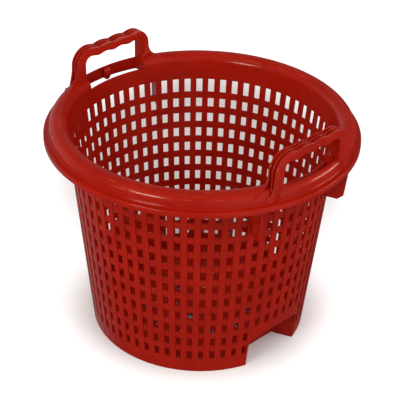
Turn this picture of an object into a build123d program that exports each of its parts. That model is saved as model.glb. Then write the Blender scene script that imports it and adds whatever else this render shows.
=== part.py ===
from build123d import *
import os
from math import asin, atan, ceil, cos, degrees, radians, sin, tan

# Round fish basket moulded in red polyethylene. Sizes are in millimetres. Z is up, the ground
# is at Z = 0 and the basket's axis is the Z axis. The two carrying handles stand on +X and -X,
# each over a hand hold in the foot of the wall.

# Wall: a hollow cone that widens upwards, with one flat facet for each stave
base_radius = 174.2  # from the axis to the outer face at the ground
wall_lean = 5.9  # degrees that the wall leans outwards
wall = 3.2  # thickness of the moulding
stave_relief = 0.8  # staves, foot and neck stand out from the hoops by this much

# Lattice: upright staves with level hoops between them
half_staves = 32  # staves from one handle round to the other
stave_width = 9.8
foot_height = 26.3  # plain band at the ground
hole_height = 16.0
hoop_height = 11.0
row_count = 10
tall_hole = 23.4  # height of the holes in the uppermost row
neck_height = 26.6  # plain band below the rim
stave_groups = 8

# Rim: a hood that turns outwards and down to a flat lip, whose edge turns down again
rim_rise = 15.5  # crest above the neck
rim_width = 28.4  # from the inner face to the skirt
rim_depth = 30.4  # from the crest to the lip's lower edge
inner_shoulder = 13.0
outer_shoulder = 11.0
inner_flats = 3  # facets that turn the inner shoulder
outer_flats = 3  # facets that turn the outer shoulder
hidden_flats = 2  # facets that turn each shoulder on the underside
lip_reach = 9.0  # out from the skirt
lip_thickness = 2.6
lip_drop = 6.6  # how far the edge turns down below the flat of the lip

# Slot in the rim under each handle
slot_half = 54.0
slot_band = 6.0  # what is left of the hood outside the slot
nub_radius = 7.0
nub_flats = 12  # facets of a whole round

# Handles: an upright loop with three ridges and two grooves round its outside
bar_top = 50.2  # mean height of the bar's top above the crest
bar_height = 14.5
handle_inset = 9.2  # outer face of the handle, measured in from the skirt
handle_depth = 16.0
opening_half = 58.0
leg_width = 17.0
grip_pitch = 31.0  # spacing of the finger grips
grip_wave = 1.3
grip_steps = 6  # facets of one finger grip
bend_flats = 6  # facets that turn the corners of the loop
foot_flats = 2  # facets that turn a foot outwards
ridge = 3.0
groove_floor = 5.0  # material between the finger side and the grooves
foot_spread = 20.0  # how far the outer ridge of a leg widens at the lip
foot_rise = 28.0  # where that widening starts, above the crest
foot_fillet = 13.0  # where the other ridges run out on the crest
foot_pad = 3.5  # how far a foot stands out from the skirt

# Gussets between the wall and the rim
gusset_staves = 4  # staves from a handle's middle to each of its gussets
gusset_drop = 58.0  # below the lip
gusset_reach = 30.4  # out from the wall at the lower edge
gusset_inset = 5.0  # in from the edge of the lip
gusset_corner = 8.0

# Hand holds: pockets in the foot of the wall
pocket_depth = 40.0
pocket_height = 62.0
mouth_half = 53.0
pocket_splay = 25.0  # degrees between each side and the depth
arch_rise = 7.0
arch_corner = 9.0
arch_flats = 3  # facets that turn each corner, and each half of the crown
post_width = 2.0  # least width left beside a hand hold

# Floor with drain holes
floor_height = 6.0
drain_length = 16.0
drain_width = 9.0
drain_pitch = 44.0
drains_in_first_ring = 6

# Places that follow from the sizes above
pitch_angle = 180.0 / half_staves
stave_count = 2 * half_staves
row_pitch = hole_height + hoop_height
lattice_top = foot_height + row_count * row_pitch + tall_hole
neck_top = lattice_top + neck_height
crest = neck_top + rim_rise


def wall_radius(z):
    """Outer radius of the wall at a height."""
    return base_radius + z * tan(radians(wall_lean))


rim_inner = wall_radius(neck_top) - wall
skirt_radius = rim_inner + rim_width
lip_radius = skirt_radius + lip_reach
lip_low = crest - rim_depth
lip_under = lip_low + lip_drop
lip_top = lip_under + lip_thickness

post_reach = mouth_half + post_width - stave_width / 2
apron_staves = ceil(degrees(asin(post_reach / base_radius)) / pitch_angle)
apron_rows = ceil((pocket_height + wall - foot_height) / row_pitch)
apron_top = foot_height + apron_rows * row_pitch

pocket_back = base_radius - pocket_depth
mouth_x = base_radius * cos(asin(mouth_half / base_radius))
bar_level = crest + bar_top
bar_flat = 1.5 * grip_pitch
inner_centre = (rim_inner + inner_shoulder, crest - inner_shoulder)
outer_centre = (skirt_radius - outer_shoulder, crest - outer_shoulder)


def bend(centre, radius, start, end, flats):
    """Points of a round stretch of an outline, between two angles in degrees, turned in flats."""
    points = []
    for k in range(flats + 1):
        a = radians(start + (end - start) * k / flats)
        points.append((centre[0] + radius * cos(a), centre[1] + radius * sin(a)))
    return points


def both_halves(points):
    """Face whose outline is given from its foot up to its middle, with the mirrored half."""
    mirrored = [(-y, z) for y, z in reversed(points) if y > 0]
    return make_face(Polyline(*points, *mirrored, close=True))


def tier(low_radius, low, high_radius, high):
    """Solid round the axis between two heights, with one flat facet for each stave."""
    height = high - low
    lean = degrees(atan(abs(high_radius - low_radius) / height))
    wide = RegularPolygon(
        max(low_radius, high_radius), stave_count, major_radius=False, rotation=pitch_angle / 2
    )
    if high_radius < low_radius:
        return Pos(0, 0, low) * extrude(wide, height, dir=(0, 0, 1), taper=lean)
    return Pos(0, 0, high) * extrude(wide, height, dir=(0, 0, -1), taper=lean)


def tiers(*points):
    """Solid round the axis from an outline of (radius, height) points that climbs from its foot."""
    stack = None
    for (low_radius, low), (high_radius, high) in zip(points, points[1:]):
        if high > low:
            piece = tier(low_radius, low, high_radius, high)
            stack = piece if stack is None else stack + piece
    return stack


def wall_core(low, high, inset):
    """All that lies inside the wall between two heights, with its faces set in from the outer face."""
    return tier(wall_radius(low) - inset, low, wall_radius(high) - inset, high)


def wall_band(low, high):
    """Plain band of the wall between two heights."""
    return wall_core(low, high, 0) - wall_core(low, high, wall)


def wall_bar(low, high, inset, half_width):
    """Flat bar of the wall's thickness on the +X axis, its outer face set in."""
    section = Polyline(
        (wall_radius(low) - wall, low),
        (wall_radius(low) - inset, low),
        (wall_radius(high) - inset, high),
        (wall_radius(high) - wall, high),
        close=True,
    )
    return extrude(Plane.XZ * make_face(section), half_width, both=True)


def plan_point(angle, along, side):
    """Point along a radial line and to one side of it."""
    a = radians(angle)
    return (along * cos(a) - side * sin(a), along * sin(a) + side * cos(a))


def upright_slice(first, first_side, last, last_side, low, high):
    """Prism between two upright planes, each beside the radial line at its angle."""
    near = base_radius / 2
    far = 2 * wall_radius(crest)
    outline = Polyline(
        plan_point(first, near, first_side),
        plan_point(first, far, first_side),
        plan_point((first + last) / 2, 2 * far, (first_side + last_side) / 2),
        plan_point(last, far, last_side),
        plan_point(last, near, last_side),
        close=True,
    )
    return Pos(0, 0, low) * extrude(make_face(outline), high - low, dir=(0, 0, 1))


def both_sides(piece):
    """A piece made on +X, and its twin on -X."""
    return [piece, Rot(0, 0, 180) * piece]


def staves_from_handle(position):
    """Distance from the nearer handle's middle, counted in stave spacings round the wall."""
    return abs((position + half_staves / 2) % half_staves - half_staves / 2)


def stave(low):
    """One upright bar of the lattice, on the +X axis."""
    return wall_bar(low, lattice_top, 0, stave_width / 2)


def hoop(row):
    """The links of one hoop, each filling the gap between two staves."""
    low = foot_height + hole_height + row * row_pitch
    high = low + hoop_height
    half = stave_width / 2
    gap = upright_slice(0, half, pitch_angle, -half, low, high)
    link = Rot(0, 0, pitch_angle / 2) * wall_bar(low, high, stave_relief, stave_width) & gap
    links = []
    for k in range(stave_count):
        if row >= apron_rows or staves_from_handle(k + 0.5) > apron_staves:
            links.append(Rot(0, 0, k * pitch_angle) * link)
    return links


def arch(margin):
    """Front of a hand hold, grown by a margin, from below the ground to its crown."""
    half = mouth_half + min(margin, post_width)
    crown = pocket_height + margin
    spring = crown - arch_rise
    corner = arch_corner + margin
    span = half - corner
    radius = (span**2 + arch_rise**2) / (2 * arch_rise)
    lean = degrees(asin(span / radius))
    side = bend((span, spring - corner), corner, 0, 90, arch_flats)
    top = bend((0, crown - radius), radius, 90 - lean, 90, arch_flats)
    return both_halves([(half, -wall), *side, *top[1:-1], (0, crown)])


def pocket_space(margin):
    """Space of the hand hold on +X, from its back wall to outside the basket, grown by a margin."""
    front = wall_radius(pocket_height) + 2 * wall
    back = pocket_back - margin
    slant = tan(radians(pocket_splay))
    side = mouth_half + margin / cos(radians(pocket_splay))
    back_half = side - (mouth_x - back) * slant
    front_half = side + (front - mouth_x) * slant
    plan = Polyline((back, -back_half), (front, -front_half), (front, front_half), (back, back_half), close=True)
    column = extrude(make_face(plan), 2 * pocket_height, both=True)
    return Plane.YZ * extrude(arch(margin), front) & column


def pocket():
    """Side walls, ceiling and back wall of the hand hold on +X."""
    shell = pocket_space(wall) - pocket_space(0)
    return shell & wall_core(0, apron_top, wall)


def foot_band():
    """Plain band at the ground, with a raised apron and an arched opening at each hand hold."""
    band = wall_band(0, apron_top)
    half = stave_width / 2
    edge = apron_staves * pitch_angle
    between = upright_slice(edge, half, 180 - edge, -half, foot_height, 2 * apron_top)
    for piece in both_sides(between) + both_sides(pocket_space(0)):
        band -= piece
    return band


def floor_plate():
    """Floor inside the foot band, let in round the hand holds, with rings of drain holes."""
    plate = wall_core(floor_height, floor_height + wall, wall)
    for space in both_sides(pocket_space(wall)):
        plate -= space
    ring_count = int((pocket_back - 2 * wall - drain_length / 2) / drain_pitch)
    drains = []
    for ring in range(1, ring_count + 1):
        places = PolarLocations(ring * drain_pitch, ring * drains_in_first_ring)
        drains += places * Rectangle(drain_length, drain_width)
    return plate - Pos(0, 0, floor_height) * extrude(Sketch() + drains, wall, dir=(0, 0, 1))


def outer_turn(inset, flats):
    """Outer shoulder of the rim from the skirt up to the crest, set in from the surface."""
    return bend(outer_centre, outer_shoulder - inset, 0, 90, flats)


def inner_turn(inset, flats):
    """Inner shoulder of the rim from the inner face up to the crest, set in from the surface."""
    return bend(inner_centre, inner_shoulder - inset, 180, 90, flats)


def inside_rim():
    """All that lies inside the skirt and below the crest."""
    return tiers((skirt_radius, lip_low), *outer_turn(0, outer_flats))


def under_hood():
    """All that lies inside the skirt and below the underside of the hood."""
    return tiers((skirt_radius - wall, lip_under), *outer_turn(wall, hidden_flats))


def slot_opening():
    """What the slot under the handle on +X takes out of the hood."""
    reach = skirt_radius - slot_band
    across = Pos(reach, 0, neck_top) * Box(
        2 * inner_shoulder + reach, 2 * slot_half, rim_depth, align=(Align.MAX, Align.CENTER, Align.MIN)
    )
    return across & tier(reach, neck_top, reach, 2 * crest)


def slot_ends():
    """Walls that close the hood at both ends of the slot on +X."""
    hollow = tiers((skirt_radius - wall / 2, lip_under), *outer_turn(wall / 2, outer_flats))
    hollow -= tiers((rim_inner + wall / 2, neck_top), *inner_turn(wall / 2, inner_flats))
    hollow -= wall_core(0, neck_top, 0)
    ends = []
    for side in (1, -1):
        across = Pos(0, side * (slot_half + wall / 2), 0) * Box(
            2 * skirt_radius, wall, 3 * crest, align=(Align.MIN, Align.CENTER, Align.CENTER)
        )
        ends.append(hollow & across)
    return ends


def rim():
    """Hood round the mouth, with a slot under each handle."""
    hood = inside_rim() + tier(lip_radius, lip_low, lip_radius, lip_top)
    edge_inside = lip_radius - lip_thickness
    hood -= tier(edge_inside, lip_low, edge_inside, lip_under)
    collar = tiers((rim_inner + wall, neck_top), *inner_turn(wall, hidden_flats))
    hood -= under_hood() - collar
    hood -= tiers((rim_inner, neck_top), *inner_turn(0, inner_flats))
    for slot in both_sides(slot_opening()):
        hood -= slot
    for end in slot_ends():
        for piece in both_sides(end):
            hood += piece
    return hood


def grip_edge(level):
    """Wavy edge of the bar from its end to its middle, in step above and below."""
    points = []
    for k in range(3 * grip_steps // 2, -1, -1):
        points.append((k * grip_pitch / grip_steps, level - grip_wave * cos(radians(360 * k / grip_steps))))
    return points


def splayed_foot(out_half, spread):
    """Outside of a foot that widens all the way down to the lip."""
    start = crest + foot_rise
    fall = start - lip_top
    turn = (spread**2 + fall**2) / (2 * spread)
    lean = degrees(asin(fall / turn))
    return bend((out_half + turn, start), turn, 180 + lean, 180, foot_flats)


def filleted_foot(out_half):
    """Outside of a foot that runs out on the crest."""
    end = out_half + foot_fillet
    return [(end, lip_top), *bend((end, crest + foot_fillet), foot_fillet, 270, 180, foot_flats + 1)]


def leg(foot, out_half, bar):
    """Outside of a leg from its foot to the end of the bar."""
    radius = out_half - bar_flat
    return foot + bend((bar_flat, bar - radius), radius, 0, 90, bend_flats)


def hand_opening():
    """Opening of the handle, with the finger grips on its upper edge."""
    under = bar_level - bar_height
    radius = opening_half - bar_flat
    corner = bend((bar_flat, under + grip_wave - radius), radius, 0, 90, bend_flats)
    return both_halves([(opening_half, lip_low), *corner[:-1], *grip_edge(under)])


def handle():
    """Loop handle on +X, standing on the rim."""
    back = skirt_radius - handle_inset - handle_depth
    groove = (handle_depth - 3 * ridge) / 2
    floor_half = opening_half + groove_floor
    floor_top = bar_level - bar_height + groove_floor
    core = both_halves(leg(splayed_foot(floor_half, groove_floor), floor_half, floor_top))
    loop = Plane.YZ.offset(back) * extrude(core, handle_depth)
    out_half = opening_half + leg_width
    out_top = bar_level + grip_wave
    ridges = []
    for k, foot in enumerate((filleted_foot(out_half), filleted_foot(out_half), splayed_foot(out_half, foot_spread))):
        outline = both_halves(leg(foot, out_half, out_top)[:-1] + grip_edge(bar_level))
        ridges.append(Plane.YZ.offset(back + k * (ridge + groove)) * extrude(outline, ridge))
    loop += ridges[0]
    loop += ridges[1]
    for k in (-1, 0, 1):
        web_height = bar_height - groove_floor / 2 - 2 * grip_wave
        web = Box(handle_depth, ridge, web_height, align=(Align.MIN, Align.CENTER, Align.MAX))
        loop += Pos(back, k * grip_pitch, bar_level - 2 * grip_wave) * web
    loop &= tier(skirt_radius, lip_low, skirt_radius, 2 * bar_level)
    pad_radius = skirt_radius + foot_pad
    loop += ridges[2] & tier(pad_radius, lip_low, pad_radius, 2 * bar_level)
    loop -= Plane.YZ * extrude(hand_opening(), 2 * skirt_radius)
    return loop - inside_rim()


def gusset(angle, hood):
    """Upright plate between the wall and the rim, at an angle round the basket."""
    low = lip_low - gusset_drop
    outline = Polyline(
        (wall_radius(low) - wall / 2, low),
        (wall_radius(low) + gusset_reach, low),
        (lip_radius - gusset_inset, lip_low),
        (lip_radius - gusset_inset, lip_under),
        (skirt_radius - wall / 2, lip_under),
        *outer_turn(wall / 2, outer_flats),
        *reversed(inner_turn(wall / 2, inner_flats)),
        (rim_inner + wall / 2, neck_top),
        close=True,
    )
    plate = make_face(outline)
    corner = plate.vertices().sort_by(Axis.Y)[:2].sort_by(Axis.X)[-1]
    plate = chamfer(corner, gusset_corner)
    blade = extrude(Plane.XZ * plate, wall / 2, both=True)
    return Rot(0, 0, angle) * blade - wall_core(0, neck_top, 0) - hood


def nub(hood):
    """Half-round nub on the inner face of the band beside the slot on +X."""
    round_bar = RegularPolygon(nub_radius, nub_flats)
    post = Pos(skirt_radius - wall, 0, lip_under) * extrude(round_bar, crest - lip_under, dir=(0, 0, 1))
    return (post & under_hood()) - hood


def save(name, *pieces):
    """Write a node, one solid or a group of separate solids."""
    solids = [solid for piece in pieces for solid in piece.solids()]
    shape = solids[0] if len(solids) == 1 else Compound(solids)
    export_step(shape, os.path.join("parts", name + ".step"))


os.makedirs("parts", exist_ok=True)

hood = rim()
save("rim", hood)
save("neck_band", wall_band(lattice_top, neck_top))
save("foot_band", foot_band())
save("floor", floor_plate())

sides = ("right", "left")
for side, piece in zip(sides, both_sides(handle())):
    save("handle_" + side, piece)
for side, piece in zip(sides, both_sides(pocket())):
    save("hand_hold_" + side, piece)
for side, piece in zip(sides, both_sides(nub(hood))):
    save("slot_nub_" + side, piece)

gusset_angle = gusset_staves * pitch_angle
for end, angle in (("front", -gusset_angle), ("rear", gusset_angle)):
    save("gusset_right_" + end, gusset(angle, hood))
    save("gusset_left_" + end, gusset(180 - angle, hood))

long_stave = stave(foot_height)
short_stave = stave(apron_top)
for group in range(stave_groups):
    bars = []
    for k in range(stave_count):
        if k * stave_groups // stave_count == group:
            bar = short_stave if staves_from_handle(k) <= apron_staves else long_stave
            bars.append(Rot(0, 0, k * pitch_angle) * bar)
    save(f"staves_{group + 1:02d}", *bars)

for row in range(row_count):
    save(f"hoop_{row + 1:02d}", *hoop(row))
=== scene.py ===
import math

import bpy
from bpy.props import FloatProperty, FloatVectorProperty, IntProperty, PointerProperty, StringProperty
from mathutils import Matrix, Vector


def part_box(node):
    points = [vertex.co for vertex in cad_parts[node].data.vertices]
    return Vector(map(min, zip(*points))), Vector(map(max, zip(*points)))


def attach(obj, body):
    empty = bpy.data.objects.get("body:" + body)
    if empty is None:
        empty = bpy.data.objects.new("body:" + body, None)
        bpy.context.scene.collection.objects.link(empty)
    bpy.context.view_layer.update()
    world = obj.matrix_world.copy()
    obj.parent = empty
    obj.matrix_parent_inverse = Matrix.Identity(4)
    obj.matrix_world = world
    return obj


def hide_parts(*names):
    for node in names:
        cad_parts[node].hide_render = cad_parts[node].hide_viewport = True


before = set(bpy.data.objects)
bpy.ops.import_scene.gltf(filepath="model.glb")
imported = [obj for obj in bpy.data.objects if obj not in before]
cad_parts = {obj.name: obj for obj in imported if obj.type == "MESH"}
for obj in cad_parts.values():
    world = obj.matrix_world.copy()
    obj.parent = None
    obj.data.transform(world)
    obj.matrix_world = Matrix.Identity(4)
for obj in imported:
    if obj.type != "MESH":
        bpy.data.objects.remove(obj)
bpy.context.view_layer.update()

bl_info = {
    "name": "Fish basket",
    "version": (1, 0, 0),
    "blender": (4, 5, 0),
    "location": "View3D > Sidebar > Basket",
    "description": "Looks of a moulded fish basket: smooth rim, grip handles, red plastic and a stage",
    "category": "Object",
}

MM = 0.001
WHITE = (1, 1, 1, 1)

# Meshes
WELD = 1e-6  # points that lie closer than this become one
SHARP_EDGE = math.radians(50)  # edges that turn by more than this are rounded
SMOOTH_EDGE = math.radians(32)  # edges that turn by less than this are shaded smooth

# Steps of the round stretches
SHOULDER_STEPS = 12  # on the rim's shoulders, and where the handles are cut to fit them
HIDDEN_STEPS = 6  # on the rim's underside and along the lip's lower edge
LIP_STEPS = 4  # at the lip's corners
FOOT_STEPS = 10
LEG_STEPS = 14
OPENING_STEPS = 10
GRIP_STEPS = 24  # along the whole bar
NUB_SEGMENTS = 24
NUB_RINGS = 14

# Cutters, which reach past the pieces that they cut
CUT_HOLE = 0.1  # radius of the hole in a round cutter, well inside the wall
CUT_SIDE = 0.3  # sideways, outside the rim
CUT_LOW = 0.3  # height below the rim
CUT_HIGH = 0.4  # height above the rim
CUT_TOP = 0.5  # height above the handles
SLOT_CUT = 0.03  # height of the slots' cutter
PAD_SIDE = 0.2  # along a handle, past its feet
OPENING_START = 0.15  # inside the handle

# Lamps by the names of their powers, with place, width and height, colour and whether the plastic
# mirrors them. Places are in metres, in a frame that is turned with the camera
PLAIN = (1, 1, 1)
DAYLIGHT = (1, 0.9, 0.76)
LAMP_AIM = (0, 0, 0.3)
LAMPS = (
    ("wide_left", (-1.5, -1.2, 2.1), (1.6, 1.6), PLAIN, False),
    ("wide_right", (1.6, -1.2, 2.1), (1.6, 1.6), PLAIN, False),
    ("left", (-1.04, -1.51, 0.68), (0.62, 0.46), DAYLIGHT, True),
    ("right", (2.0, 0.04, 0.46), (0.9, 0.6), DAYLIGHT, True),
)


def length(name, description, default):
    """A size, in metres."""
    return FloatProperty(name=name, description=description, default=default, unit="LENGTH", precision=4)


def angle(name, description, degrees):
    """An angle, set in degrees."""
    return FloatProperty(name=name, description=description, default=math.radians(degrees), subtype="ANGLE")


def hex_colour(name, description, code):
    """A colour, as an sRGB hex code."""
    return StringProperty(name=name, description=description + ", as sRGB hex", default=code)


def strength(name, description, default):
    """Strength of a glow or of the surround, where 1 is white."""
    return FloatProperty(name=name, description=description, default=default)


def power(name, description, watts):
    """Power of a lamp, in watts."""
    return FloatProperty(name=name, description=description, default=watts, unit="POWER")


class BasketSizes(bpy.types.PropertyGroup):
    """Sizes of the pieces that are remodelled with smooth forms."""

    base_radius: length("Base radius", "Outer radius of the wall at the ground", 0.1742)
    wall_lean: angle("Wall lean", "How far the wall leans outwards", 5.9)
    wall: length("Wall", "Thickness of the moulding", 0.0032)
    rim_width: length("Rim width", "From the inner face to the skirt", 0.0284)
    inner_shoulder: length("Inner shoulder", "Radius of the rim's inner shoulder", 0.013)
    outer_shoulder: length("Outer shoulder", "Radius of the rim's outer shoulder", 0.011)
    lip_thickness: length("Lip thickness", "Thickness of the flat lip and of its edge", 0.0026)
    lip_drop: length("Lip drop", "How far the lip's edge turns down below its flat", 0.0066)
    lip_corner: length("Lip corner", "Rounding of the lip's corners", 0.0015)
    slot_half: length("Slot half length", "Half the length of the slot under a handle", 0.0575)
    slot_band: length("Slot band", "What is left of the hood outside the slot", 0.006)
    nub_half: length("Nub half width", "Half the width of the nub that hangs in each slot", 0.0078)
    nub_reach: length("Nub reach", "How far the nub stands out from its middle", 0.0062)
    nub_inset: length("Nub inset", "Middle of the nub, in from the skirt's inner face", 0.003)
    nub_widest: length("Nub widest", "Where the nub is widest, below the crest", 0.0145)
    nub_drop: length("Nub drop", "How far the nub reaches below the skirt", 0.0032)
    handle_inset: length("Handle inset", "Outer face of the handle, in from the skirt", 0.0092)
    handle_depth: length("Handle depth", "Depth of the handle from face to face", 0.016)
    bar_height: length("Bar height", "Height of the handle's bar", 0.0145)
    opening_half: length("Opening half width", "Half the width of the hand opening", 0.058)
    leg_width: length("Leg width", "Width of a leg of the handle", 0.017)
    grip_pitch: length("Grip pitch", "Spacing of the finger grips", 0.031)
    grip_wave: length("Grip wave", "Rise and fall of the finger grips", 0.0013)
    ridge: length("Ridge", "Thickness of each of the three ridges", 0.003)
    groove_floor: length("Groove floor", "Material between the finger side and the grooves", 0.005)
    web_inset: length("Web inset", "How far the webs in the grooves lie in from the handle's faces", 0.001)
    foot_spread: length("Foot spread", "How far the outer ridge of a leg widens at the lip", 0.015)
    foot_rise: length("Foot rise", "Where that widening starts, above the crest", 0.022)
    inner_fillet: length("Inner fillet", "Fillet of the inner ridge on the rim", 0.026)
    inner_sink: length("Inner sink", "How far below the crest that fillet runs out", 0.004)
    middle_fillet: length("Middle fillet", "Fillet of the middle ridge on the rim", 0.0155)
    middle_sink: length("Middle sink", "How far below the crest that fillet runs out", 0.0115)
    groove_fillet: length("Groove fillet", "Fillet in which the grooves run out", 0.014)
    groove_sink: length("Groove sink", "How far below the crest the grooves run out", 0.01)
    foot_pad: length("Foot pad", "How far a foot stands out from the skirt", 0.0035)
    edge_round: length("Edge round", "Rounding of the handle's edges", 0.0007)
    turns: IntProperty(name="Turns", description="Steps round the rim", default=160, min=32)


class BasketLooks(bpy.types.PropertyGroup):
    """Colours and finish of the plastic."""

    red: hex_colour("Red", "Main colour", "B61C09")
    deep_red: hex_colour("Deep red", "Colour of the darker flow marks", "AA1807")
    # painted highlight: pale colour of the thin streaks along the top of the rim
    painted_highlight_colour: hex_colour("Scuffed", "Colour of the scuffs on the rim", "E06A50")
    roughness: FloatProperty(
        name="Roughness", description="Mean roughness of the satin surface", default=0.15, subtype="FACTOR"
    )
    edge: length("Edge", "Rounding of the moulded edges as they catch light", 0.0009)


class BasketStage(bpy.types.PropertyGroup):
    """Floor, surround, lamps and camera."""

    floor: hex_colour("Floor", "Colour of the floor", "FAFAFA")
    floor_light: hex_colour("Floor light", "Colour of the light that the floor throws back", "D2D2D2")
    # painted shadow: the floor's colour inside the ellipse behind the basket
    painted_shadow_colour: hex_colour("Floor shade", "Colour of the floor in the basket's shadow", "EBE3E1")
    near_glow: strength("Near glow", "What lifts the floor by the basket to white", 0.5)
    far_glow: strength("Far glow", "What more the floor far away needs to be white", 0.3)
    ambient: strength("Ambient", "Strength of the even light", 0.51)
    mirrored: strength("Mirrored", "Strength of the surround in reflections", 0.06)
    wall_behind: strength("Wall behind", "The same for a pale wall behind on the left", 0.27)
    wall_before: strength("Wall before", "The same for a pale wall in front on the right", 0.18)
    wide_left: power("Wide left", "Wide lamp above the camera's left", 10.0)
    wide_right: power("Wide right", "Wide lamp above its right", 18.5)
    left: power("Left", "Low window at the camera's left", 8.0)
    right: power("Right", "Low window at the right", 7.0)
    azimuth: angle("Azimuth", "Camera's turn from the front", 45.84)
    elevation: angle("Elevation", "Camera's rise above the ground", 32.5)
    roll: angle("Roll", "Camera's roll", 1.48)
    distance: length("Distance", "Camera to the point it looks at", 2.0598)
    look_at: FloatVectorProperty(
        name="Look at",
        description="Point in the middle of the picture",
        default=(0, 0, 0.2076),
        subtype="TRANSLATION",
    )
    sensor: FloatProperty(name="Sensor", description="Width of the sensor in millimetres", default=36.0)
    lens: FloatProperty(name="Lens", description="Focal length", default=116.1, unit="CAMERA")
    shift: FloatProperty(name="Shift", description="Sideways shift, in picture widths", default=-0.00145)


def linear(code):
    """Linear colour of an sRGB hex code."""
    values = [int(code[k : k + 2], 16) / 255 for k in (0, 2, 4)]
    return tuple(v / 12.92 if v <= 0.04045 else ((v + 0.055) / 1.055) ** 2.4 for v in values) + (1.0,)


def add_node(tree, kind, inputs=None, **settings):
    """Add a node, set its options, and set or link its inputs by name or number."""
    node = tree.nodes.new(kind)
    for key, value in settings.items():
        setattr(node, key, value)
    for key, value in (inputs or {}).items():
        if isinstance(value, bpy.types.NodeSocket):
            tree.links.new(value, node.inputs[key])
        else:
            node.inputs[key].default_value = value
    return node


def blank_material(name):
    """New material with an empty node tree."""
    material = bpy.data.materials.new(name)
    material.use_nodes = True
    material.node_tree.nodes.clear()
    return material


def arc(centre, radius, start, end, steps):
    """Points of a round stretch of an outline, between two angles in degrees."""
    points = []
    for k in range(steps + 1):
        a = math.radians(start + (end - start) * k / steps)
        points.append((centre[0] + radius * math.cos(a), centre[1] + radius * math.sin(a)))
    return points


def mirrored(points):
    """Other half of an outline drawn as (y, z), in the order that closes it."""
    return [(-y, z) for y, z in reversed(points)]


def named(name):
    """Name the primitive that was just added, and select all of it in edit mode."""
    piece = bpy.context.object
    piece.name = piece.data.name = name
    bpy.ops.object.mode_set(mode="EDIT")
    bpy.ops.mesh.select_all(action="SELECT")
    return piece


def trace(name, points):
    """Start a piece in edit mode as one closed outline, extruded from corner to corner."""
    bpy.ops.object.select_all(action="DESELECT")
    bpy.ops.mesh.primitive_plane_add(size=0.01)
    piece = named(name)
    bpy.ops.mesh.merge(type="CENTER")
    bpy.ops.transform.translate(value=points[0])
    for here, there in zip(points, points[1:] + points[:1]):
        step = Vector(there) - Vector(here)
        bpy.ops.mesh.extrude_region_move(TRANSFORM_OT_translate={"value": step})
    bpy.ops.mesh.select_all(action="SELECT")
    bpy.ops.mesh.remove_doubles(threshold=WELD)
    return piece


def close_piece():
    """Turn the normals outwards and leave edit mode."""
    bpy.ops.mesh.select_all(action="SELECT")
    bpy.ops.mesh.normals_make_consistent(inside=False)
    bpy.ops.object.mode_set(mode="OBJECT")


def spun(name, section, turns):
    """Ring of a section drawn as (radius, height)."""
    piece = trace(name, [(r, 0, z) for r, z in section])
    bpy.ops.mesh.spin(steps=turns, angle=2 * math.pi, center=(0, 0, 0), axis=(0, 0, 1))
    bpy.ops.mesh.select_all(action="SELECT")
    bpy.ops.mesh.remove_doubles(threshold=WELD)
    close_piece()
    return piece


def inside(name, radius, top, turns):
    """Round cutter for all that lies inside a radius, from below the rim up to a height."""
    section = [(CUT_HOLE, CUT_LOW), (radius, CUT_LOW), (radius, top), (CUT_HOLE, top)]
    return spun(name, section, turns)


def plate(name, outline, start, depth):
    """Plate of an outline drawn as (y, z), from one x to another."""
    piece = trace(name, [(start, y, z) for y, z in outline])
    bpy.ops.mesh.edge_face_add()
    bpy.ops.mesh.extrude_region_move(TRANSFORM_OT_translate={"value": (depth, 0, 0)})
    close_piece()
    return piece


def block(name, low, high):
    """Block between two corners, stretched in edit mode."""
    bpy.ops.object.select_all(action="DESELECT")
    bpy.ops.mesh.primitive_cube_add(size=1)
    piece = named(name)
    bpy.ops.transform.resize(value=Vector(high) - Vector(low))
    bpy.ops.transform.translate(value=(Vector(high) + Vector(low)) / 2)
    bpy.ops.object.mode_set(mode="OBJECT")
    return piece


def ball(name, centre, halves):
    """Round body with its half sizes, stretched in edit mode, with no seam straight ahead."""
    bpy.ops.object.select_all(action="DESELECT")
    bpy.ops.mesh.primitive_uv_sphere_add(segments=NUB_SEGMENTS, ring_count=NUB_RINGS, radius=1)
    piece = named(name)
    bpy.ops.transform.rotate(value=math.pi / NUB_SEGMENTS, orient_axis="Z", center_override=(0, 0, 0))
    bpy.ops.transform.resize(value=halves)
    bpy.ops.transform.translate(value=centre)
    bpy.ops.object.mode_set(mode="OBJECT")
    return piece


def active(piece):
    """Make one piece the only selected one."""
    bpy.ops.object.select_all(action="DESELECT")
    piece.select_set(True)
    bpy.context.view_layer.objects.active = piece


def combine(piece, other, operation):
    """Add, cut or intersect a piece with another, which is then removed."""
    active(piece)
    change = piece.modifiers.new("combine", "BOOLEAN")
    change.operation = operation
    change.object = other
    change.solver = "EXACT"
    bpy.ops.object.modifier_apply(modifier=change.name)
    bpy.data.objects.remove(other)
    return piece


def round_edges(piece, width):
    """Round the sharp edges of a piece."""
    active(piece)
    change = piece.modifiers.new("round", "BEVEL")
    change.width = width
    change.segments = 2
    change.limit_method = "ANGLE"
    change.angle_limit = SHARP_EDGE
    change.miter_outer = "MITER_ARC"
    bpy.ops.object.modifier_apply(modifier=change.name)
    return piece


def finish_piece(piece, material, *nodes):
    """Clean and smooth a finished piece, give it its material and let it stand for its nodes."""
    active(piece)
    bpy.ops.object.mode_set(mode="EDIT")
    bpy.ops.mesh.select_all(action="SELECT")
    bpy.ops.mesh.remove_doubles(threshold=WELD)
    bpy.ops.mesh.dissolve_degenerate(threshold=WELD)
    bpy.ops.mesh.delete_loose(use_verts=True, use_edges=True, use_faces=False)
    close_piece()
    bpy.ops.object.shade_smooth_by_angle(angle=SMOOTH_EDGE)
    piece.data.materials.clear()
    piece.data.materials.append(material)
    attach(piece, "root")
    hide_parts(*nodes)


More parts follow.
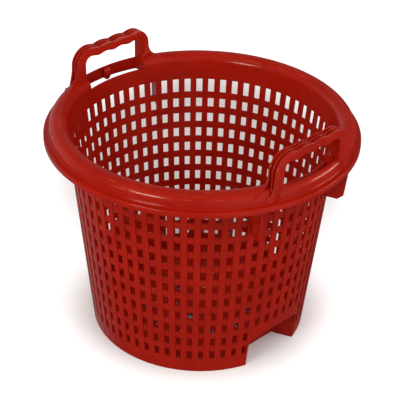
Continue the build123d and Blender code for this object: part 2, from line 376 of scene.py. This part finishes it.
def red_polyethylene(looks):
    """Red high-density polyethylene straight from the mould: satin, a little waxy, with soft
    flow marks in the colour, faint lines of the turned mould that run round the basket, a fine
    grain that breaks up the sheen, thin highlights painted as pale streaks along the top of the rim, and
    edges that catch light."""
    name = "polyethylene_red_satin"
    if name in bpy.data.materials:
        return bpy.data.materials[name]
    flow_width = 62.5 * MM
    grain_width = 0.384615 * MM
    scuff_width = 8.33333 * MM
    line_gap = 1.428571 * MM
    line_turn = 1 / 3  # length of a line, in radians round the axis: 73 mm on the rim
    streak_gap = 1.25 * MM
    streak_turn = 1 / 7  # 31 mm on the rim
    smoother, rougher = 0.04, 0.06

    material = blank_material(name)
    tree = material.node_tree
    where = add_node(tree, "ShaderNodeTexCoord").outputs["Object"]
    # flow marks
    flow = add_node(
        tree,
        "ShaderNodeTexNoise",
        {"Vector": where, "Scale": 1 / flow_width, "Detail": 3.0, "Roughness": 0.55, "Distortion": 0.6},
    ).outputs["Fac"]
    marks = add_node(
        tree,
        "ShaderNodeMapRange",
        {"Value": flow, "From Min": 0.35, "From Max": 0.65},
        interpolation_type="SMOOTHSTEP",
    ).outputs["Result"]
    flowed = add_node(
        tree, "ShaderNodeMix", {0: marks, 6: linear(looks.deep_red), 7: linear(looks.red)}, data_type="RGBA"
    ).outputs[2]

    # place on the basket as a turn round its axis, a radius and a height
    place = add_node(tree, "ShaderNodeSeparateXYZ", {0: where})
    turn = add_node(
        tree, "ShaderNodeMath", {0: place.outputs["Y"], 1: place.outputs["X"]}, operation="ARCTAN2"
    ).outputs[0]
    level = add_node(tree, "ShaderNodeVectorMath", {0: where, 1: (1, 1, 0)}, operation="MULTIPLY").outputs[0]
    out = add_node(tree, "ShaderNodeVectorMath", {0: level}, operation="LENGTH").outputs["Value"]
    turned = add_node(tree, "ShaderNodeCombineXYZ", {0: turn, 1: out, 2: place.outputs["Z"]}).outputs[0]

    # painted highlights: thin pale streaks along the top of the rim, the peaks of a drawn-out noise
    dragged = add_node(
        tree,
        "ShaderNodeVectorMath",
        {0: turned, 1: (1 / streak_turn, 1 / streak_gap, 1 / streak_gap)},
        operation="MULTIPLY",
    ).outputs[0]
    streaks = add_node(
        tree, "ShaderNodeTexNoise", {"Vector": dragged, "Scale": 1.0, "Detail": 1.0}
    ).outputs["Fac"]
    thin = add_node(
        tree, "ShaderNodeMapRange", {"Value": streaks, "From Min": 0.7, "From Max": 0.78}
    ).outputs["Result"]
    high = add_node(
        tree,
        "ShaderNodeMapRange",
        {"Value": place.outputs["Z"], "From Min": 0.346, "From Max": 0.356, "To Max": 0.8},
    ).outputs["Result"]
    painted_highlight_mask = add_node(tree, "ShaderNodeMath", {0: high, 1: thin}, operation="MULTIPLY").outputs[0]
    colour = add_node(
        tree, "ShaderNodeMix", {0: painted_highlight_mask, 6: flowed, 7: linear(looks.painted_highlight_colour)}, data_type="RGBA"
    ).outputs[2]

    # handling marks in the sheen
    scuff = add_node(
        tree, "ShaderNodeTexNoise", {"Vector": where, "Scale": 1 / scuff_width, "Detail": 4.0}
    ).outputs["Fac"]
    rough = add_node(
        tree,
        "ShaderNodeMapRange",
        {
            "Value": scuff,
            "From Min": 0.3,
            "From Max": 0.7,
            "To Min": looks.roughness - smoother,
            "To Max": looks.roughness + rougher,
        },
    ).outputs["Result"]

    # rounded edges, then the lines of the turned mould, then its grain
    edge = add_node(tree, "ShaderNodeBevel", {"Radius": looks.edge}, samples=4).outputs["Normal"]
    drawn = add_node(
        tree,
        "ShaderNodeVectorMath",
        {0: turned, 1: (1 / line_turn, 1 / line_gap, 1 / line_gap)},
        operation="MULTIPLY",
    ).outputs[0]
    lines = add_node(
        tree, "ShaderNodeTexNoise", {"Vector": drawn, "Scale": 1.0, "Detail": 3.0}
    ).outputs["Fac"]
    ridged = add_node(
        tree, "ShaderNodeBump", {"Strength": 0.3, "Distance": 0.08 * MM, "Height": lines, "Normal": edge}
    ).outputs["Normal"]
    grain = add_node(
        tree, "ShaderNodeTexNoise", {"Vector": where, "Scale": 1 / grain_width, "Detail": 2.0}
    ).outputs["Fac"]
    bump = add_node(
        tree, "ShaderNodeBump", {"Strength": 0.12, "Distance": 0.1 * MM, "Height": grain, "Normal": ridged}
    ).outputs["Normal"]

    shader = add_node(
        tree,
        "ShaderNodeBsdfPrincipled",
        {"Base Color": colour, "Roughness": rough, "IOR": 1.52, "Normal": bump},
    )
    add_node(tree, "ShaderNodeOutputMaterial", {"Surface": shader.outputs["BSDF"]})
    return material


def rim_places(s):
    """Radii and heights of the rim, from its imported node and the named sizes."""
    low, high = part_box("rim")
    neck_low, neck_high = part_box("neck_band")
    lean = math.tan(s.wall_lean)
    places = {
        "lip_low": low.z,
        "lip_under": low.z + s.lip_drop,
        "lip_top": low.z + s.lip_drop + s.lip_thickness,
        "crest": high.z,
        "lip_radius": high.y,
        "neck_low": neck_low.z,
        "neck_top": neck_high.z,
        "neck_low_radius": s.base_radius + neck_low.z * lean,
        "neck_top_radius": s.base_radius + neck_high.z * lean,
    }
    places["inner"] = places["neck_top_radius"] - s.wall
    places["skirt"] = places["inner"] + s.rim_width
    places["inner_centre"] = (places["inner"] + s.inner_shoulder, high.z - s.inner_shoulder)
    places["outer_centre"] = (places["skirt"] - s.outer_shoulder, high.z - s.outer_shoulder)
    return places


def rim_section(s, p):
    """Section of the neck and rim, from the neck's lower edge up its inside and down the outside."""
    half = s.lip_thickness / 2
    turn = s.lip_corner
    return [
        (p["neck_low_radius"] - s.wall, p["neck_low"]),
        (p["inner"], p["neck_top"]),
        *arc(p["inner_centre"], s.inner_shoulder, 180, 90, SHOULDER_STEPS),
        *arc(p["outer_centre"], s.outer_shoulder, 90, 0, SHOULDER_STEPS),
        *arc((p["skirt"] + turn, p["lip_top"] + turn), turn, 180, 270, LIP_STEPS),
        *arc((p["lip_radius"] - turn, p["lip_top"] - turn), turn, 90, 0, LIP_STEPS),
        *arc((p["lip_radius"] - half, p["lip_low"] + half), half, 0, -180, HIDDEN_STEPS),
        (p["lip_radius"] - s.lip_thickness, p["lip_under"]),
        (p["skirt"] - s.wall, p["lip_under"]),
        *arc(p["outer_centre"], s.outer_shoulder - s.wall, 0, 90, HIDDEN_STEPS),
        *arc(p["inner_centre"], s.inner_shoulder - s.wall, 90, 180, HIDDEN_STEPS),
        (p["neck_top_radius"], p["neck_top"]),
        (p["neck_low_radius"], p["neck_low"]),
    ]


def hood_section(s, p, low):
    """Section of what fills the hood, out to the middle of its walls and down to a height."""
    middle = s.wall / 2
    return [
        (p["inner"] + middle, p["neck_top"]),
        (s.base_radius + p["lip_under"] * math.tan(s.wall_lean) - middle, low),
        (p["skirt"] - middle, low),
        *arc(p["outer_centre"], s.outer_shoulder - middle, 0, 90, HIDDEN_STEPS),
        *arc(p["inner_centre"], s.inner_shoulder - middle, 90, 180, HIDDEN_STEPS),
    ]


class BASKET_OT_rim(bpy.types.Operator):
    """Model the smooth rim with its neck, its two slots and the nubs in them"""

    bl_idname = "basket.rim"
    bl_label = "Rim and neck"

    def execute(self, context):
        s = context.scene.basket_sizes
        p = rim_places(s)
        rim = spun("rim_and_neck", rim_section(s, p), s.turns)
        self.cut_slots(rim, s, p)
        self.add_nubs(rim, s, p)
        nodes = ("rim", "neck_band", "slot_nub_right", "slot_nub_left")
        finish_piece(rim, red_polyethylene(context.scene.basket_looks), *nodes)
        return {"FINISHED"}

    def cut_slots(self, rim, s, p):
        """Fill the hood at both ends of each slot with a wall, then cut the slots between them."""
        ends = spun("slot_ends", hood_section(s, p, p["lip_under"]), s.turns)
        bars = None
        for side in (1, -1):
            y = side * (s.slot_half + s.wall / 2)
            low = (-CUT_SIDE, y - s.wall / 2, CUT_LOW)
            bar = block("bar", low, (CUT_SIDE, y + s.wall / 2, CUT_HIGH))
            bars = bar if bars is None else combine(bars, bar, "UNION")
        combine(ends, bars, "INTERSECT")
        combine(rim, ends, "UNION")
        # a straight cut through both sides, bounded outside by a round face
        low = (-CUT_SIDE, -s.slot_half, p["neck_top"])
        across = block("slots", low, (CUT_SIDE, s.slot_half, p["neck_top"] + SLOT_CUT))
        combine(across, inside("disc", p["skirt"] - s.slot_band, CUT_HIGH, s.turns), "INTERSECT")
        combine(rim, across, "DIFFERENCE")

    def add_nubs(self, rim, s, p):
        """Hang a nub with a round end inside the skirt beside each slot."""
        widest = p["crest"] - s.nub_widest
        halves = (s.nub_reach, s.nub_half, widest - p["lip_under"] + s.nub_drop)
        for side in (1, -1):
            nub = ball("nub", (side * (p["skirt"] - s.wall - s.nub_inset), 0, widest), halves)
            combine(nub, spun("nub_space", hood_section(s, p, p["lip_low"]), s.turns), "INTERSECT")
            combine(rim, nub, "UNION")


def handle_places(s):
    """Places of the right handle, added to those of the rim."""
    p = rim_places(s)
    p["top"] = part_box("handle_right")[1].z - s.grip_wave
    p["under"] = p["top"] - s.bar_height
    p["flat"] = 1.5 * s.grip_pitch
    p["out_half"] = s.opening_half + s.leg_width
    p["back"] = p["skirt"] - s.handle_inset - s.handle_depth
    p["groove"] = (s.handle_depth - 3 * s.ridge) / 2
    # the feet start inside the rim, which is cut out of them at the end
    p["sunk"] = p["lip_top"] - s.lip_thickness / 2
    return p


def humps(turn):
    """Rounded humps with narrow valleys between them, from -1 to 1."""
    return 2 * abs(math.sin(turn)) - 1


def wave(turn):
    """Even rise and fall, from -1 to 1."""
    return -math.cos(2 * turn)


def grips(s, p, level, rise):
    """Finger grips along the bar, from one end to the other."""
    ends = [p["flat"] - 2 * p["flat"] * k / GRIP_STEPS for k in range(GRIP_STEPS + 1)]
    return [(y, level + s.grip_wave * rise(math.pi * y / s.grip_pitch)) for y in ends]


def splayed_foot(s, p, out_half):
    """Outside of a foot that widens all the way down to the lip."""
    start = p["crest"] + s.foot_rise
    fall = start - p["lip_top"]
    turn = (s.foot_spread**2 + fall**2) / (2 * s.foot_spread)
    lean = math.degrees(math.asin(fall / turn))
    curve = arc((out_half + turn, start), turn, 180 + lean, 180, FOOT_STEPS)
    return [(curve[0][0], p["sunk"])] + curve


def filleted_foot(p, out_half, fillet, sink):
    """Outside of a foot that runs out on the rim."""
    end = out_half + fillet
    return [(end, p["sunk"])] + arc((end, p["crest"] - sink + fillet), fillet, 270, 180, FOOT_STEPS)


def leg(p, foot, out_half, bar):
    """Outside of a leg, from its foot up to the end of the bar."""
    radius = out_half - p["flat"]
    return foot + arc((p["flat"], bar - radius), radius, 0, 90, LEG_STEPS)


def handle_ridge(s, p, k, foot):
    """One of the three ridges of a handle, with rounded edges."""
    side = leg(p, foot, p["out_half"], p["top"] + s.grip_wave)[:-1]
    outline = side + grips(s, p, p["top"], humps) + mirrored(side)
    start = p["back"] + k * (s.ridge + p["groove"])
    return round_edges(plate("ridge", outline, start, s.ridge), s.edge_round)


class BASKET_OT_handles(bpy.types.Operator):
    """Model one grip handle with rounded ridges, and copy it to the other side"""

    bl_idname = "basket.handles"
    bl_label = "Grip handles"

    def execute(self, context):
        s = context.scene.basket_sizes
        p = handle_places(s)
        # faces that would lie in one plane are set apart by this much, so that the cuts stay clean
        inset = s.edge_round / 2
        loop = self.inner_loop(s, p, inset)
        combine(loop, self.outer_ridge(s, p), "UNION")
        combine(loop, self.foot_pads(s, p, inset), "UNION")
        self.cut_to_fit(loop, s, p)
        twin = self.other_side(loop)
        material = red_polyethylene(context.scene.basket_looks)
        finish_piece(loop, material, "handle_right")
        finish_piece(twin, material, "handle_left")
        return {"FINISHED"}

    def inner_loop(self, s, p, inset):
        """Floor of the grooves, with the inner and middle ridges and the webs that cross the grooves."""
        floor_half = s.opening_half + s.groove_floor
        foot = filleted_foot(p, floor_half, s.groove_fillet, s.groove_sink)
        core = leg(p, foot, floor_half, p["under"] + s.groove_floor)
        depth = s.handle_depth - 2 * inset
        loop = plate("handle_right_loop", core + mirrored(core), p["back"] + inset, depth)
        feet = ((s.inner_fillet, s.inner_sink), (s.middle_fillet, s.middle_sink))
        for k, (fillet, sink) in enumerate(feet):
            foot = filleted_foot(p, p["out_half"], fillet, sink)
            combine(loop, handle_ridge(s, p, k, foot), "UNION")
        for k in (-1, 0, 1):
            y = k * s.grip_pitch
            low = (p["back"] + s.web_inset, y - s.ridge / 2, p["under"] + s.groove_floor / 2)
            high_x = p["back"] + s.handle_depth - s.web_inset
            high = (high_x, y + s.ridge / 2, p["top"] - 2 * s.grip_wave)
            combine(loop, block("web", low, high), "UNION")
        return combine(loop, inside("skin", p["skirt"] - inset, CUT_TOP, s.turns), "INTERSECT")

    def outer_ridge(self, s, p):
        """Outer ridge, whose feet widen down to the lip and stand out from the skirt."""
        outer = handle_ridge(s, p, 2, splayed_foot(s, p, p["out_half"]))
        return combine(outer, inside("pad_skin", p["skirt"] + s.foot_pad, CUT_TOP, s.turns), "INTERSECT")

    def foot_pads(self, s, p, inset):
        """Solid pads below the crest, under the outer ridge and just inside its outline."""
        splay = splayed_foot(s, p, p["out_half"] - s.edge_round)
        splay += [(s.opening_half + s.edge_round, z) for z in (splay[-1][1], splay[0][1])]
        start = p["back"] - s.edge_round
        pads = plate("pads", splay, start, s.handle_depth)
        combine(pads, plate("pad", mirrored(splay), start, s.handle_depth), "UNION")
        low = (CUT_HOLE, -PAD_SIDE, p["sunk"] + inset)
        high = (CUT_SIDE, PAD_SIDE, p["crest"] - 2 * s.foot_pad)
        combine(pads, block("below", low, high), "INTERSECT")
        skin = inside("pads_skin", p["skirt"] + s.foot_pad - inset, CUT_TOP, s.turns)
        return combine(pads, skin, "INTERSECT")

    def cut_to_fit(self, loop, s, p):
        """Cut the hand opening, with its finger grips, and then the rim that the feet stand on."""
        radius = s.opening_half - p["flat"]
        corner = arc((p["flat"], p["under"] + s.grip_wave - radius), radius, 0, 90, OPENING_STEPS)
        jamb = [(s.opening_half, p["lip_low"])] + corner[:-1]
        outline = jamb + grips(s, p, p["under"], wave) + mirrored(jamb)
        combine(loop, plate("opening", outline, OPENING_START, CUT_SIDE - OPENING_START), "DIFFERENCE")
        filled = [
            (CUT_HOLE, p["lip_low"]),
            (p["lip_radius"], p["lip_low"]),
            (p["lip_radius"], p["lip_top"]),
            (p["skirt"], p["lip_top"]),
            *arc(p["outer_centre"], s.outer_shoulder, 0, 90, SHOULDER_STEPS),
            (CUT_HOLE, p["crest"]),
        ]
        combine(loop, spun("filled", filled, s.turns), "DIFFERENCE")

    def other_side(self, loop):
        """Copy the handle, with its own mesh, and turn the copy to the left side."""
        active(loop)
        bpy.ops.object.duplicate(linked=False)
        twin = named("handle_left_loop")
        bpy.ops.transform.rotate(value=math.pi, orient_axis="Z", center_override=(0, 0, 0))
        bpy.ops.object.mode_set(mode="OBJECT")
        return twin


class BASKET_OT_plastic(bpy.types.Operator):
    """Give the lattice, bands, floor and gussets their plastic"""

    bl_idname = "basket.plastic"
    bl_label = "Plastic"

    def execute(self, context):
        material = red_polyethylene(context.scene.basket_looks)
        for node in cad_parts.values():
            node.data.materials.clear()
            node.data.materials.append(material)
        return {"FINISHED"}


class BASKET_OT_stage(bpy.types.Operator):
    """Set up the pale floor, the soft lamps, the surround and the camera"""

    bl_idname = "basket.stage"
    bl_label = "Studio stage"

    def execute(self, context):
        scene = context.scene
        s = scene.basket_stage
        self.add_floor(s)
        self.add_world(scene, s)
        turn = Matrix.Rotation(s.azimuth, 4, "Z")
        for name, place, size, colour, is_mirrored in LAMPS:
            lamp = self.add_lamp(name, turn @ Vector(place), size, colour)
            lamp.data.energy = getattr(s, name)
            lamp.visible_glossy = is_mirrored
        self.add_camera(scene, s)
        scene.view_settings.view_transform = "Standard"
        return {"FINISHED"}

    def add_floor(self, s):
        """Pale matt floor, wide enough to fill the picture."""
        floor_size = 14
        bpy.ops.object.select_all(action="DESELECT")
        bpy.ops.mesh.primitive_plane_add(size=1)
        floor = named("floor_stage")
        bpy.ops.transform.resize(value=(floor_size, floor_size, 1))
        bpy.ops.object.mode_set(mode="OBJECT")
        floor.data.materials.append(self.pale_floor(s))
        floor.visible_glossy = False

    def pale_floor(self, s):
        """Matt floor that the camera sees as white, apart from a soft shadow at the basket's foot and a
        painted shadow behind it. All other rays meet a plain grey one."""
        contact_start, contact_end = 0.15, 0.25  # radii between which the shadow at the foot fades
        # painted shadow behind the basket: an ellipse of darker, pinkish floor colour without glow
        painted_shadow_place = Vector((0, 0.5, 0))  # middle of the shadow behind, as the camera is turned
        painted_shadow_narrow = 0.72  # its width, as a share of its depth
        painted_shadow_start, painted_shadow_end = 0.26, 0.47  # radii between which it fades
        far_start, far_end = 0.9, 1.6  # radii between which the lamps' light gives out

        material = blank_material("floor_pale_matt")
        tree = material.node_tree
        where = add_node(tree, "ShaderNodeTexCoord").outputs["Object"]
        away = add_node(tree, "ShaderNodeVectorMath", {0: where}, operation="LENGTH").outputs["Value"]
        beside = add_node(
            tree,
            "ShaderNodeMapRange",
            {"Value": away, "From Min": contact_start, "From Max": contact_end},
            interpolation_type="SMOOTHSTEP",
        ).outputs["Result"]
        # painted shadow: inside an ellipse on the side away from the camera the floor's colour is darkened
        # and tinted pink, and its glow is left out
        shade = add_node(
            tree,
            "ShaderNodeMapping",
            {
                "Vector": where,
                "Location": Matrix.Rotation(s.azimuth, 3, "Z") @ painted_shadow_place,
                "Rotation": (0, 0, s.azimuth),
                "Scale": (painted_shadow_narrow, 1, 1),
            },
            vector_type="TEXTURE",
        ).outputs["Vector"]
        off = add_node(tree, "ShaderNodeVectorMath", {0: shade}, operation="LENGTH").outputs["Value"]
        outside_painted_shadow = add_node(
            tree,
            "ShaderNodeMapRange",
            {"Value": off, "From Min": painted_shadow_start, "From Max": painted_shadow_end},
            interpolation_type="SMOOTHSTEP",
        ).outputs["Result"]
        colour = add_node(
            tree,
            "ShaderNodeMix",
            {0: outside_painted_shadow, 6: linear(s.painted_shadow_colour), 7: linear(s.floor)},
            data_type="RGBA",
        ).outputs[2]
        lit = add_node(tree, "ShaderNodeMath", {0: beside, 1: outside_painted_shadow}, operation="MULTIPLY").outputs[0]
        near = add_node(tree, "ShaderNodeMath", {0: lit, 1: s.near_glow}, operation="MULTIPLY").outputs[0]
        far = add_node(
            tree,
            "ShaderNodeMapRange",
            {"Value": away, "From Min": far_start, "From Max": far_end, "To Max": s.far_glow},
        ).outputs["Result"]
        level = add_node(tree, "ShaderNodeMath", {0: near, 1: far}, operation="ADD").outputs[0]

        matt = add_node(tree, "ShaderNodeBsdfDiffuse", {"Color": colour, "Roughness": 0.5})
        glow = add_node(tree, "ShaderNodeEmission", {"Color": WHITE, "Strength": level})
        shown = add_node(tree, "ShaderNodeAddShader", {0: matt.outputs[0], 1: glow.outputs[0]})
        thrown = add_node(tree, "ShaderNodeBsdfDiffuse", {"Color": linear(s.floor_light), "Roughness": 0.5})
        seen = add_node(tree, "ShaderNodeLightPath").outputs["Is Camera Ray"]
        both = add_node(tree, "ShaderNodeMixShader", {0: seen, 1: thrown.outputs[0], 2: shown.outputs[0]})
        add_node(tree, "ShaderNodeOutputMaterial", {"Surface": both.outputs[0]})
        return material

    def add_world(self, scene, s):
        """Surround that is white to the camera, an even light, and dim in reflections but for two
        pale walls, which show as a soft sheen on the rim's shoulders."""
        wall_full, wall_top = 0.38, 0.62  # rise of a direction between which the walls fade out
        # strength, direction as the camera is turned, and how straight a direction meets the wall's edge
        # and its full strength
        walls = (
            (s.wall_behind, (-0.62, 0.79, 0), 0.5, 0.97),
            (s.wall_before, (0.71, -0.71, 0), 0.71, 0.82),
        )
        world = bpy.data.worlds.new("studio_white")
        scene.world = world
        world.use_nodes = True
        tree = world.node_tree
        tree.nodes.clear()
        towards = add_node(tree, "ShaderNodeTexCoord").outputs["Generated"]
        rise = add_node(tree, "ShaderNodeSeparateXYZ", {0: towards}).outputs["Z"]
        low = add_node(
            tree, "ShaderNodeMapRange", {"Value": rise, "From Min": wall_top, "From Max": wall_full}
        ).outputs["Result"]
        shown = s.mirrored
        for most, place, edge, full in walls:
            centre = Matrix.Rotation(s.azimuth, 3, "Z") @ Vector(place)
            facing = add_node(
                tree, "ShaderNodeVectorMath", {0: towards, 1: centre}, operation="DOT_PRODUCT"
            ).outputs["Value"]
            wall = add_node(
                tree,
                "ShaderNodeMapRange",
                {"Value": facing, "From Min": edge, "From Max": full, "To Max": most},
            ).outputs["Result"]
            shown = add_node(
                tree, "ShaderNodeMath", {0: low, 1: wall, 2: shown}, operation="MULTIPLY_ADD"
            ).outputs[0]
        path = add_node(tree, "ShaderNodeLightPath")
        level = add_node(
            tree,
            "ShaderNodeMix",
            {0: path.outputs["Is Glossy Ray"], 2: s.ambient, 3: shown},
            data_type="FLOAT",
        ).outputs[0]
        even = add_node(tree, "ShaderNodeBackground", {"Color": WHITE, "Strength": level})
        white = add_node(tree, "ShaderNodeBackground", {"Color": WHITE, "Strength": 1.0})
        mix = add_node(
            tree,
            "ShaderNodeMixShader",
            {0: path.outputs["Is Camera Ray"], 1: even.outputs[0], 2: white.outputs[0]},
        )
        add_node(tree, "ShaderNodeOutputWorld", {"Surface": mix.outputs[0]})

    def add_lamp(self, name, place, size, colour):
        """Soft lamp aimed at the basket, with its width and height."""
        bpy.ops.object.light_add(type="AREA", location=place)
        lamp = bpy.context.object
        lamp.name = "lamp_" + name
        lamp.data.shape = "RECTANGLE"
        lamp.data.size, lamp.data.size_y = size
        lamp.data.color = colour
        lamp.rotation_euler = (Vector(LAMP_AIM) - place).to_track_quat("-Z", "Y").to_euler()
        return lamp

    def add_camera(self, scene, s):
        """Camera at the photograph's viewing angle."""
        flat = math.cos(s.elevation) * s.distance
        rise = math.sin(s.elevation) * s.distance
        offset = Vector((math.sin(s.azimuth) * flat, -math.cos(s.azimuth) * flat, rise))
        bpy.ops.object.camera_add(location=Vector(s.look_at) + offset)
        camera = bpy.context.object
        camera.name = "camera_photo"
        aim = (-offset).to_track_quat("-Z", "Y").to_matrix()
        camera.rotation_euler = (aim @ Matrix.Rotation(s.roll, 3, "Z")).to_euler()
        camera.data.sensor_width = s.sensor
        camera.data.lens = s.lens
        camera.data.shift_x = s.shift
        scene.camera = camera


class BASKET_PT_panel(bpy.types.Panel):
    """Steps and settings of the basket"""

    bl_idname = "BASKET_PT_panel"
    bl_label = "Fish basket"
    bl_space_type = "VIEW_3D"
    bl_region_type = "UI"
    bl_category = "Basket"

    def draw(self, context):
        layout = self.layout
        for operator in OPERATORS:
            layout.operator(operator.bl_idname)
        for group in (context.scene.basket_sizes, context.scene.basket_looks, context.scene.basket_stage):
            box = layout.box()
            for name in group.__annotations__:
                box.prop(group, name)


OPERATORS = (BASKET_OT_rim, BASKET_OT_handles, BASKET_OT_plastic, BASKET_OT_stage)
CLASSES = (BasketSizes, BasketLooks, BasketStage, *OPERATORS, BASKET_PT_panel)


def register():
    for cls in CLASSES:
        bpy.utils.register_class(cls)
    bpy.types.Scene.basket_sizes = PointerProperty(type=BasketSizes)
    bpy.types.Scene.basket_looks = PointerProperty(type=BasketLooks)
    bpy.types.Scene.basket_stage = PointerProperty(type=BasketStage)


def unregister():
    del bpy.types.Scene.basket_stage
    del bpy.types.Scene.basket_looks
    del bpy.types.Scene.basket_sizes
    for cls in reversed(CLASSES):
        bpy.utils.unregister_class(cls)


def main():
    register()
    bpy.ops.basket.plastic()
    bpy.ops.basket.rim()
    bpy.ops.basket.handles()
    bpy.ops.basket.stage()


if __name__ == "__main__":
    main()
